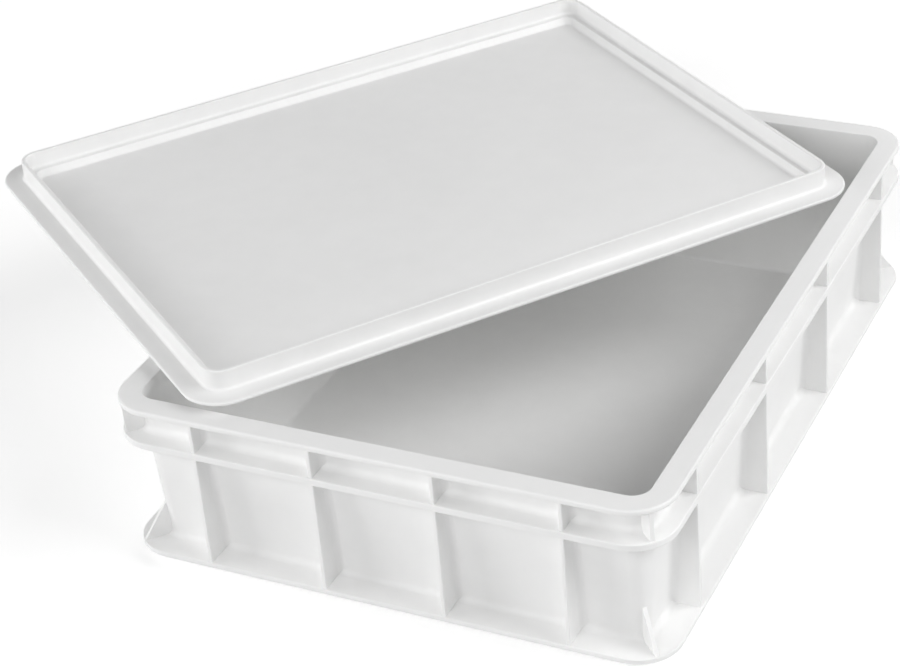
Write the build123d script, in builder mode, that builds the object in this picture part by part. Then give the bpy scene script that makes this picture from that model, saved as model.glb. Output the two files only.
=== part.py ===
"""Dough proofing container: a shallow ribbed stacking box and its flat lid, set down askew on the rim.

Millimetres. +Z is up, X runs along the box's short side and Y along its long side.
The origin is the centre of the face that the box stands on.
"""
from build123d import *
from math import atan2, cos, degrees, radians, sin, sqrt
import os

# Outline, shared by the box's rim, its flanges and the lid
width = 300.0
length = 400.0

# Box
height = 99.9
corner_radius = 23.0
wall = 2.5
wall_lean = 6.4          # how far a wall's foot stands in from its top
floor = 3.0
foot_height = 9.5        # what stands below the lowest flange and nests in the next lid or box
foot_rounding = 1.5
floor_rounding = 2.0
floor_rounding_share = 0.8   # most of the floor's corner radius that its rounding may take

# Rim and the two flanges under it
rim_width = 12.8         # flat ring round the mouth
rim_depth = 3.4
rim_rounding = 1.2
mouth_radius = 9.6
mouth_rounding = 0.6
band_height = 16.0       # clear height between the rim and the upper flange
upper_flange = 4.0
base_flange = 3.0
flange_rounding = 0.6

# Ribs and corner webs
rib = 2.2
rib_setback = 0.9        # how far a rib's edge stays behind the flange's edge
rib_rounding = 0.5
ribs_per_side = 4
short_side_end = 50.5    # from the box's outline to the middle of a short side's outer rib
long_side_end = 50.0
pocket_rounding = 3.5    # hollow corner where a wall meets a rib or a flange
upper_gusset = 9.5
lower_gusset = 20.0

# Lid
lid_plate = 2.3          # thickness of the flange round the lid
lid_radius = 22.0
lid_edge_rounding = 1.0
upstand_inset = 11.3     # from the lid's edge to the outer face of the upright wall
upstand_height = 11.3
upstand_width = 2.4
upstand_lean = 0.5
upstand_rounding = 0.7
upstand_fillet = 1.6     # hollow corner at the foot of the upright wall
ledge_rise = 1.7         # ledge over the flange's top, where the next box's foot rests
ledge_width = 3.8
ledge_fillet = 1.8
ledge_rounding = 0.8
tray_drop = 4.1          # from the ledge down to the tray
tray_lean = 2.4
tray_radius = 6.0
tray_fillet = 1.8
plug_depth = 1.8         # step under the lid that drops into the mouth
plug_clearance = 0.5
plug_rounding = 0.6
frame_depth = 3.7        # stiffening frame under the step
frame_end_inset = 95.0   # from the lid's short edge to the frame
frame_side_inset = 55.0
frame_radius = 8.0
frame_rib = 2.2
frame_rounding = 0.5

# How the lid lies on the box
lid_turn_degrees = 53.85
lid_shift_x = -94.4
lid_shift_y = 50.6
resting_gap = 0.4

overrun = 5.0            # how far a cutter passes its workpiece
fine = 0.001             # two places closer than this are the same

# Levels of the box
base_flange_top = foot_height + base_flange
rim_bottom = height - rim_depth
upper_flange_top = rim_bottom - band_height
upper_flange_bottom = upper_flange_top - upper_flange
wall_inset = rim_width - wall
short_side_pitch = (width - 2 * short_side_end) / (ribs_per_side - 1)
long_side_pitch = (length - 2 * long_side_end) / (ribs_per_side - 1)
lean_angle = degrees(atan2(wall_lean, height))


def wall_retreat(z):
    """How far the wall stands in at height z, against its place at the rim."""
    return wall_lean * (height - z) / height


def wall_reach(z):
    """Distance of the wall's outer corner from the centre of the rim's corner arc, along the diagonal."""
    between_centres = sqrt(2) * (corner_radius - rim_width - mouth_radius)
    return between_centres + mouth_radius + wall - wall_retreat(z)


# The box's walls as one solid hull, wider at the top
with BuildPart() as hull:
    with BuildSketch(Plane(origin=(0, 0, height), z_dir=(0, 0, -1))):
        RectangleRounded(width - 2 * wall_inset, length - 2 * wall_inset, mouth_radius + wall)
    extrude(amount=height, taper=lean_angle)
    fillet(hull.faces().sort_by(Axis.Z)[0].edges(), foot_rounding)

# The space inside the box
with BuildPart() as cavity:
    with BuildSketch(Plane(origin=(0, 0, height), z_dir=(0, 0, -1))):
        RectangleRounded(width - 2 * rim_width, length - 2 * rim_width, mouth_radius)
    extrude(amount=height - floor, taper=lean_angle)
    floor_corner = mouth_radius - wall_retreat(floor)
    fillet(cavity.faces().sort_by(Axis.Z)[0].edges(), min(floor_rounding, floor_corner * floor_rounding_share))

# The pockets between the ribs, as cutters that are open to the outside
with BuildPart() as pockets:
    for low, high in ((base_flange_top, upper_flange_bottom), (upper_flange_top, rim_bottom)):
        with BuildSketch(Plane.XY.offset(low)):
            Rectangle(width + 2 * overrun, length + 2 * overrun)
        extrude(amount=high - low)
    add(hull.part, mode=Mode.SUBTRACT)
    with BuildSketch(Plane.XY):
        with GridLocations(short_side_pitch, 0, ribs_per_side, 1):
            Rectangle(rib, length - 2 * rib_setback)
        with GridLocations(0, long_side_pitch, 1, ribs_per_side):
            Rectangle(width - 2 * rib_setback, rib)
    extrude(amount=height, mode=Mode.SUBTRACT)
    wall_faces = hull.part.faces().filter_by(Axis.Z, reverse=True)
    at_wall = [
        edge
        for edge in pockets.edges()
        if min(face.distance_to(edge @ 0.5) for face in wall_faces) < fine
    ]
    fillet(at_wall, pocket_rounding)

# Ribs: what the pockets leave of a block that stands just inside the flanges' outline
with BuildPart() as ribbing:
    with BuildSketch(Plane.XY.offset(base_flange_top)):
        RectangleRounded(width - 2 * rib_setback, length - 2 * rib_setback, corner_radius - rib_setback)
    extrude(amount=rim_bottom - base_flange_top)
    add(pockets.part, mode=Mode.SUBTRACT)
    fillet(ribbing.edges().filter_by(Axis.Z), rib_rounding)

# Diagonal webs at the four corners: full between the flanges, triangles below them
with BuildPart() as corner_webs:
    reach = corner_radius - rib_setback
    root = wall / 2
    upper_tip = upper_flange_bottom - upper_gusset
    lower_tip = base_flange_top + lower_gusset
    for side_x, side_y in ((1, 1), (1, -1), (-1, 1), (-1, -1)):
        outward = Vector(side_x, side_y).normalized()
        arc_centre = (side_x * (width / 2 - corner_radius), side_y * (length / 2 - corner_radius), 0)
        diagonal = Plane(origin=arc_centre, x_dir=outward, z_dir=outward.cross(Vector(0, 0, 1)))
        with BuildSketch(diagonal):
            Polygon(
                (wall_reach(upper_flange_top) - root, upper_flange_top),
                (reach, upper_flange_top),
                (reach, rim_bottom),
                (wall_reach(rim_bottom) - root, rim_bottom),
                align=None,
            )
            Polygon(
                (wall_reach(upper_flange_bottom) - root, upper_flange_bottom),
                (reach, upper_flange_bottom),
                (wall_reach(upper_tip), upper_tip),
                (wall_reach(upper_tip) - root, upper_tip),
                align=None,
            )
            Polygon(
                (wall_reach(base_flange_top) - root, base_flange_top),
                (reach, base_flange_top),
                (wall_reach(lower_tip), lower_tip),
                (wall_reach(lower_tip) - root, lower_tip),
                align=None,
            )
        extrude(amount=rib / 2, both=True)


def plate(low, high, rounding):
    """A flange with the box's full outline between two heights."""
    with BuildPart() as flange:
        with BuildSketch(Plane.XY.offset(low)):
            RectangleRounded(width, length, corner_radius)
        extrude(amount=high - low)
        fillet(flange.faces().filter_by(Axis.Z).edges(), rounding)
    return flange.part


base_plate = plate(foot_height, base_flange_top, flange_rounding)
upper_plate = plate(upper_flange_bottom, upper_flange_top, flange_rounding)
rim_plate = plate(rim_bottom, height, rim_rounding)

# The box itself, one moulding
with BuildPart() as container:
    add(hull.part)
    add(ribbing.part)
    add(corner_webs.part)
    add(base_plate)
    add(upper_plate)
    add(rim_plate)
    add(cavity.part, mode=Mode.SUBTRACT)
    fillet(container.faces().sort_by(Axis.Z)[-1].inner_wires()[0].edges(), mouth_rounding)
container.part.label = "container"

# How the lid lies. Three places under it touch the rim: its frame's near end on the left-hand rim,
# its frame's far corner on the back rim, and the end of its step on the back rim. Its right-hand
# corner hangs free inside the mouth. Places are (along, across, depth) from the lid's middle.
plug_inset = rim_width + plug_clearance
turn = radians(lid_turn_degrees)
frame_half_length = length / 2 - frame_end_inset
frame_half_width = width / 2 - frame_side_inset
frame_corner = frame_radius * (1 - 1 / sqrt(2))
left_edge = rim_width - width / 2
back_edge = length / 2 - rim_width
left_place = (left_edge - lid_shift_x + frame_half_length * cos(turn)) / -sin(turn)
step_end = length / 2 - plug_inset
back_place = (back_edge - lid_shift_y - step_end * sin(turn)) / cos(turn)
at_left = Vector(-frame_half_length, left_place, plug_depth + frame_depth)
at_back = Vector(frame_half_length - frame_corner, frame_half_width - frame_corner, plug_depth + frame_depth)
at_end = Vector(step_end, back_place, plug_depth)
upright = (at_end - at_left).cross(at_back - at_left).normalized()
rise_along = -upright.X / upright.Z
rise_across = -upright.Y / upright.Z
middle_rise = at_left.Z - rise_along * at_left.X - rise_across * at_left.Y
lid_x = Vector(cos(turn), sin(turn), rise_along).normalized()
across = Vector(-sin(turn), cos(turn), rise_across).normalized()
lid_z = lid_x.cross(across).normalized()
lid_level = height + resting_gap + middle_rise + lid_plate / lid_z.Z
lid_plane = Plane(origin=(lid_shift_x, lid_shift_y, lid_level), x_dir=lid_x, z_dir=lid_z)


def lid_outline(inset, radius):
    """The lid's outline drawn in by an inset."""
    RectangleRounded(length - 2 * inset, width - 2 * inset, radius)


def ring(builder, level, inset):
    """The edges at a height over the flange's top that run round the lid at an inset from its outline."""
    found = []
    for edge in builder.edges():
        ends = [lid_plane.to_local_coords(edge @ place) for place in (0, 1)]
        insets = [min(length / 2 - abs(end.X), width / 2 - abs(end.Y)) for end in ends]
        if max(abs(end.Z - level) for end in ends) < fine and max(abs(i - inset) for i in insets) < fine:
            found.append(edge)
    return found


def facing_down(level):
    """The lid's plane at a height, turned over, so that a cut runs down into the lid."""
    return Plane(origin=lid_plane.offset(level).origin, x_dir=lid_x, z_dir=-lid_z)


# Insets of the lid's features from its outline
upstand_inner = upstand_inset + upstand_width
ledge_outer = upstand_inner + upstand_lean
ledge_inner = ledge_outer + ledge_width
tray_edge = ledge_inner + tray_lean
tray_level = ledge_rise - tray_drop
upstand_face = upstand_height - ledge_rise

# The lid, one moulding: its own plane lies on the flange's top
with BuildPart() as lid:
    with BuildSketch(lid_plane.offset(-lid_plate)):
        lid_outline(0, lid_radius)
    extrude(amount=lid_plate)
    fillet(ring(lid, 0, 0) + ring(lid, -lid_plate, 0), lid_edge_rounding)
    with BuildSketch(lid_plane):
        lid_outline(upstand_inset, lid_radius - upstand_inset)
    extrude(amount=upstand_height)
    with BuildSketch(facing_down(upstand_height)):
        lid_outline(upstand_inner, lid_radius - upstand_inner)
    extrude(amount=upstand_face, taper=degrees(atan2(upstand_lean, upstand_face)), mode=Mode.SUBTRACT)
    with BuildSketch(lid_plane.offset(-lid_plate)):
        lid_outline(plug_inset, lid_radius - plug_inset)
    extrude(amount=-plug_depth)
    with BuildSketch(lid_plane.offset(-lid_plate - plug_depth)):
        RectangleRounded(2 * frame_half_length, 2 * frame_half_width, frame_radius)
        RectangleRounded(
            2 * (frame_half_length - frame_rib),
            2 * (frame_half_width - frame_rib),
            frame_radius - frame_rib,
            mode=Mode.SUBTRACT,
        )
        Rectangle(2 * frame_half_length - frame_rib, frame_rib)
        Rectangle(frame_rib, 2 * frame_half_width - frame_rib)
    extrude(amount=-frame_depth)
    with BuildSketch(facing_down(ledge_rise)):
        lid_outline(ledge_inner, tray_radius)
    extrude(amount=tray_drop, taper=degrees(atan2(tray_lean, tray_drop)), mode=Mode.SUBTRACT)
    fillet(ring(lid, upstand_height, upstand_inset), upstand_rounding)
    fillet(ring(lid, upstand_height, upstand_inner), upstand_rounding)
    fillet(ring(lid, 0, upstand_inset), upstand_fillet)
    fillet(ring(lid, ledge_rise, ledge_outer), ledge_fillet)
    fillet(ring(lid, ledge_rise, ledge_inner), ledge_rounding)
    fillet(ring(lid, tray_level, tray_edge), tray_fillet)
    fillet(ring(lid, -lid_plate - plug_depth, plug_inset), plug_rounding)
    frame_foot = [
        edge
        for edge in lid.edges()
        if abs(lid_plane.to_local_coords(edge.center()).Z + lid_plate + plug_depth + frame_depth) < fine
    ]
    fillet(frame_foot, frame_rounding)
lid.part.label = "lid"

os.makedirs("parts", exist_ok=True)
export_step(container.part, "parts/container.step")
export_step(lid.part, "parts/lid.step")
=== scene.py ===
"""Looks of the dough proofing container.

White moulded plastic, soft studio light and the photograph's camera. Metres, in the part's own
frame: +Z up, +X to the box's right, +Y to its back. Azimuths count from the box's front towards
its right, elevations up from the floor, both in degrees.
"""

from math import cos, pi, radians, sin

import bpy
from mathutils import Matrix, Vector

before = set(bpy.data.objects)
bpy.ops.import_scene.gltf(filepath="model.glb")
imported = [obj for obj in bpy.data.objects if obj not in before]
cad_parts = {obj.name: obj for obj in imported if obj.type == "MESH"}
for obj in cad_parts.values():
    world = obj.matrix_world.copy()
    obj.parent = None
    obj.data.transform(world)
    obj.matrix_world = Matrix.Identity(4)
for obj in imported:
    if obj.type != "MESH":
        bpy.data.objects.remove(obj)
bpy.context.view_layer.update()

# Camera, as the photograph was taken
CAMERA_PLACE = (0.47937, -1.00303, 0.73806)
CAMERA_AZIMUTH = 27.957
CAMERA_ELEVATION = 32.313
CAMERA_ROLL = -5.330
CAMERA_SENSOR = 36.0        # mm wide
CAMERA_LENS = 94.949        # mm
CAMERA_SHIFT = (-0.00655, 0.03661)
CAMERA_CLIP = (0.05, 60.0)

# Light
FULL_WHITE = (1.0, 1.0, 1.0, 1.0)
AIM = (0.0, 0.0, 0.06)      # where the lamps point
SKY_LEVEL = 0.08            # what the room's white walls give from all round
SOFTBOXES = {
    # name: azimuth, elevation, distance, width, height, level on a surface that faces it
    "softbox_front": (-1.0, 32.0, 2.2, 1.2, 1.0, 0.36),
    "softbox_left": (-64.0, 14.0, 2.2, 1.2, 1.0, 0.44),
    "softbox_right": (97.0, 39.0, 2.2, 1.8, 1.3, 0.74),
    "softbox_back": (175.0, 14.0, 2.4, 1.6, 1.0, 0.20),
}
LIGHT_BOUNCES = 16          # a white box is lit inside mostly by its own walls

# Floor
FLOOR_SIZE = 16.0
FLOOR_WHITE = 0.85
# what the camera sees of the floor besides the light that falls on it: distance, strength
FLOOR_NEAR = (0.45, 0.42)
FLOOR_FAR = (2.4, 0.90)     # where the lamps no longer reach

# Plastic
PLASTIC_WHITE = (0.90, 0.90, 0.897)
FINISHES = {
    # piece: material, roughness, size and depth of the mould's grain, seed
    "container": ("white_box_plastic", 0.42, 0.0011, 0.00012, 3.1),
    "lid": ("white_lid_plastic", 0.40, 0.0009, 0.00010, 8.7),
}
PLASTIC_SOCKETS = {
    "Specular IOR Level": 0.42,
    "IOR": 1.5,
    "Subsurface Weight": 0.12,
    "Subsurface Radius": (1.0, 1.0, 1.0),
    "Subsurface Scale": 0.003,
}
SEED_WAY = (1.0, 0.7, 0.3)  # the way that a seed moves the noises

# Noises of the plastic: scale, detail, roughness
CLOUDS = (9.0, 3.0, 0.5)    # a hand wide
FLOW = (60.0, 4.0, 0.6)
RUBBED = (26.0, 5.0, 0.62)
WAVES = (22.0, 1.0, 0.5)
GRAIN_DETAIL = 2.0

NOISE_SPAN = (0.3, 0.7)     # the values of a noise between which its effect runs
FLOW_SPAN = (0.35, 0.65)
CLOUD_SHADE = 0.975         # share of the full white left in the darkest clouds
FLOW_SHADE = 0.985          # the same in the flow marks
RUBBED_SPAN = (-0.06, 0.08)  # added to the roughness
GRAIN_STRENGTH = 0.35
WAVE_STRENGTH = 0.25
WAVE_DEPTH = 0.0006


def link(tree, source, target):
    tree.links.new(source, target)


def node(tree, kind, **settings):
    """A shader node with its settings given by name."""
    made = tree.nodes.new(kind)
    for name, value in settings.items():
        setattr(made, name, value)
    return made


def fill(made, values):
    """Sets the sockets of a node by name."""
    for socket, value in values.items():
        made.inputs[socket].default_value = value


def noise(tree, place, scale, detail, roughness=0.5):
    made = node(tree, "ShaderNodeTexNoise", noise_dimensions="3D")
    fill(made, {"Scale": scale, "Detail": detail, "Roughness": roughness})
    link(tree, place, made.inputs["Vector"])
    return made.outputs["Fac"]


def spread(tree, source, span, to_span):
    """Carries a range of a value over to another range, held at its ends."""
    made = node(tree, "ShaderNodeMapRange", clamp=True)
    fill(made, {"From Min": span[0], "From Max": span[1]})
    fill(made, {"To Min": to_span[0], "To Max": to_span[1]})
    link(tree, source, made.inputs["Value"])
    return made.outputs["Result"]


def bump(tree, height, strength, depth):
    made = node(tree, "ShaderNodeBump")
    fill(made, {"Strength": strength, "Distance": depth})
    link(tree, height, made.inputs["Height"])
    return made


def empty_tree(owner):
    """The node tree of a material or a world, cleared for new nodes."""
    owner.use_nodes = True
    owner.node_tree.nodes.clear()
    return owner.node_tree


def plastic(name, white, roughness, grain_size, grain_depth, seed):
    """Moulded food-grade plastic: satin white, with the mould's fine grain and faint flow marks.

    A little light goes into it, which softens its thin edges.
    """
    material = bpy.data.materials.new(name)
    tree = empty_tree(material)
    out = node(tree, "ShaderNodeOutputMaterial")
    shader = node(tree, "ShaderNodeBsdfPrincipled")
    link(tree, shader.outputs["BSDF"], out.inputs["Surface"])
    coords = node(tree, "ShaderNodeTexCoord")
    shifted = node(tree, "ShaderNodeMapping")
    fill(shifted, {"Location": [seed * part for part in SEED_WAY]})
    link(tree, coords.outputs["Object"], shifted.inputs["Vector"])
    place = shifted.outputs["Vector"]

    # colour: broad clouds, and a little less white in the flow marks
    clouds = noise(tree, place, *CLOUDS)
    flow = noise(tree, place, *FLOW)
    tone = node(tree, "ShaderNodeMix", data_type="RGBA")
    fill(tone, {"A": (*[c * CLOUD_SHADE for c in white], 1.0), "B": (*white, 1.0)})
    link(tree, spread(tree, clouds, NOISE_SPAN, (0.0, 1.0)), tone.inputs["Factor"])
    speck = node(tree, "ShaderNodeMix", data_type="RGBA", blend_type="MULTIPLY")
    fill(speck, {"Factor": 1.0})
    link(tree, tone.outputs["Result"], speck.inputs["A"])
    grey = node(tree, "ShaderNodeCombineColor")
    fine = spread(tree, flow, FLOW_SPAN, (FLOW_SHADE, 1.0))
    for channel in ("Red", "Green", "Blue"):
        link(tree, fine, grey.inputs[channel])
    link(tree, grey.outputs["Color"], speck.inputs["B"])
    link(tree, speck.outputs["Result"], shader.inputs["Base Color"])

    # gloss: satin, a little uneven where hands and racks have rubbed it
    rubbed = noise(tree, place, *RUBBED)
    uneven = [roughness + change for change in RUBBED_SPAN]
    link(tree, spread(tree, rubbed, NOISE_SPAN, uneven), shader.inputs["Roughness"])
    fill(shader, PLASTIC_SOCKETS)

    # relief: the mould's grain over the slight waviness of a large moulding
    fine_grain = noise(tree, place, 1.0 / grain_size, GRAIN_DETAIL)
    grain = bump(tree, fine_grain, GRAIN_STRENGTH, grain_depth)
    waves = bump(tree, noise(tree, place, *WAVES), WAVE_STRENGTH, WAVE_DEPTH)
    link(tree, waves.outputs["Normal"], grain.inputs["Normal"])
    link(tree, grain.outputs["Normal"], shader.inputs["Normal"])
    return material


def dress(name, material):
    """Puts the material into every slot of a CAD node."""
    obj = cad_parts[name]
    if not obj.material_slots:
        obj.data.materials.append(material)
    for each in obj.material_slots:
        each.material = material


def lay_floor():
    """A plain white floor. The camera sees it nearly white, with the object's own soft shadow."""
    half = FLOOR_SIZE / 2
    corners = [(-half, -half, 0), (half, -half, 0), (half, half, 0), (-half, half, 0)]
    mesh = bpy.data.meshes.new("floor")
    mesh.from_pydata(corners, [], [(0, 1, 2, 3)])
    floor = bpy.data.objects.new("floor", mesh)
    bpy.context.scene.collection.objects.link(floor)
    material = bpy.data.materials.new("floor_white")
    tree = empty_tree(material)
    out = node(tree, "ShaderNodeOutputMaterial")
    matt = node(tree, "ShaderNodeBsdfDiffuse")
    fill(matt, {"Color": (FLOOR_WHITE, FLOOR_WHITE, FLOOR_WHITE, 1.0)})
    glow = node(tree, "ShaderNodeEmission")
    fill(glow, {"Color": FULL_WHITE})
    path = node(tree, "ShaderNodeLightPath")
    spot = node(tree, "ShaderNodeTexCoord")
    away = node(tree, "ShaderNodeVectorMath", operation="LENGTH")
    link(tree, spot.outputs["Object"], away.inputs[0])
    seen = node(tree, "ShaderNodeMath", operation="MULTIPLY")
    near_to_far, strengths = zip(FLOOR_NEAR, FLOOR_FAR)
    link(tree, spread(tree, away.outputs["Value"], near_to_far, strengths), seen.inputs[1])
    link(tree, path.outputs["Is Camera Ray"], seen.inputs[0])
    link(tree, seen.outputs["Value"], glow.inputs["Strength"])
    both = node(tree, "ShaderNodeAddShader")
    link(tree, matt.outputs["BSDF"], both.inputs[0])
    link(tree, glow.outputs["Emission"], both.inputs[1])
    link(tree, both.outputs["Shader"], out.inputs["Surface"])
    mesh.materials.append(material)


def surround():
    """A white room: white to the eye and in reflections, and dimmer as a source of light."""
    world = bpy.data.worlds.new("studio")
    bpy.context.scene.world = world
    tree = empty_tree(world)
    out = node(tree, "ShaderNodeOutputWorld")
    path = node(tree, "ShaderNodeLightPath")
    white = node(tree, "ShaderNodeBackground")
    fill(white, {"Color": FULL_WHITE, "Strength": 1.0})
    dim = node(tree, "ShaderNodeBackground")
    fill(dim, {"Color": FULL_WHITE, "Strength": SKY_LEVEL})
    either = node(tree, "ShaderNodeMath", operation="MAXIMUM")
    link(tree, path.outputs["Is Camera Ray"], either.inputs[0])
    link(tree, path.outputs["Is Glossy Ray"], either.inputs[1])
    any_of = node(tree, "ShaderNodeMath", operation="MAXIMUM")
    link(tree, either.outputs["Value"], any_of.inputs[0])
    link(tree, path.outputs["Is Transmission Ray"], any_of.inputs[1])
    mix = node(tree, "ShaderNodeMixShader")
    link(tree, any_of.outputs["Value"], mix.inputs["Fac"])
    link(tree, dim.outputs["Background"], mix.inputs[1])
    link(tree, white.outputs["Background"], mix.inputs[2])
    link(tree, mix.outputs["Shader"], out.inputs["Surface"])


def towards(azimuth, elevation):
    """The direction from the object to something at an azimuth and an elevation."""
    a, e = radians(azimuth), radians(elevation)
    return Vector((sin(a) * cos(e), -cos(a) * cos(e), sin(e)))


def softbox(name, azimuth, elevation, distance, wide, high, level):
    """A rectangular soft lamp. Its level is what a white surface that faces it gives back."""
    lamp = bpy.data.lights.new(name, "AREA")
    lamp.shape = "RECTANGLE"
    lamp.size = wide
    lamp.size_y = high
    lamp.energy = level * pi ** 2 * distance ** 2
    obj = bpy.data.objects.new(name, lamp)
    bpy.context.scene.collection.objects.link(obj)
    way = towards(azimuth, elevation)
    obj.location = Vector(AIM) + way * distance
    obj.rotation_euler = way.to_track_quat("Z", "Y").to_euler()


def photograph():
    """The camera: place, direction, roll, lens and shift of the photograph."""
    data = bpy.data.cameras.new("camera")
    data.sensor_width = CAMERA_SENSOR
    data.lens = CAMERA_LENS
    data.shift_x, data.shift_y = CAMERA_SHIFT
    data.clip_start, data.clip_end = CAMERA_CLIP
    back = towards(CAMERA_AZIMUTH, CAMERA_ELEVATION)
    level = Vector((0, 0, 1)).cross(back).normalized()
    upward = back.cross(level)
    roll = radians(CAMERA_ROLL)
    right = level * cos(roll) + upward * sin(roll)
    up = upward * cos(roll) - level * sin(roll)
    matrix = Matrix((right, up, back)).transposed().to_4x4()
    matrix.translation = Vector(CAMERA_PLACE)
    camera = bpy.data.objects.new("camera", data)
    bpy.context.scene.collection.objects.link(camera)
    camera.matrix_world = matrix
    bpy.context.scene.camera = camera


for piece, (label, roughness, grain_size, grain_depth, seed) in FINISHES.items():
    dress(piece, plastic(label, PLASTIC_WHITE, roughness, grain_size, grain_depth, seed))
lay_floor()
surround()
for name, (azimuth, elevation, distance, wide, high, level) in SOFTBOXES.items():
    softbox(name, azimuth, elevation, distance, wide, high, level)
photograph()
bpy.context.scene.view_settings.view_transform = "Standard"
bpy.context.scene.cycles.diffuse_bounces = LIGHT_BOUNCES
bpy.context.scene.cycles.max_bounces = LIGHT_BOUNCES
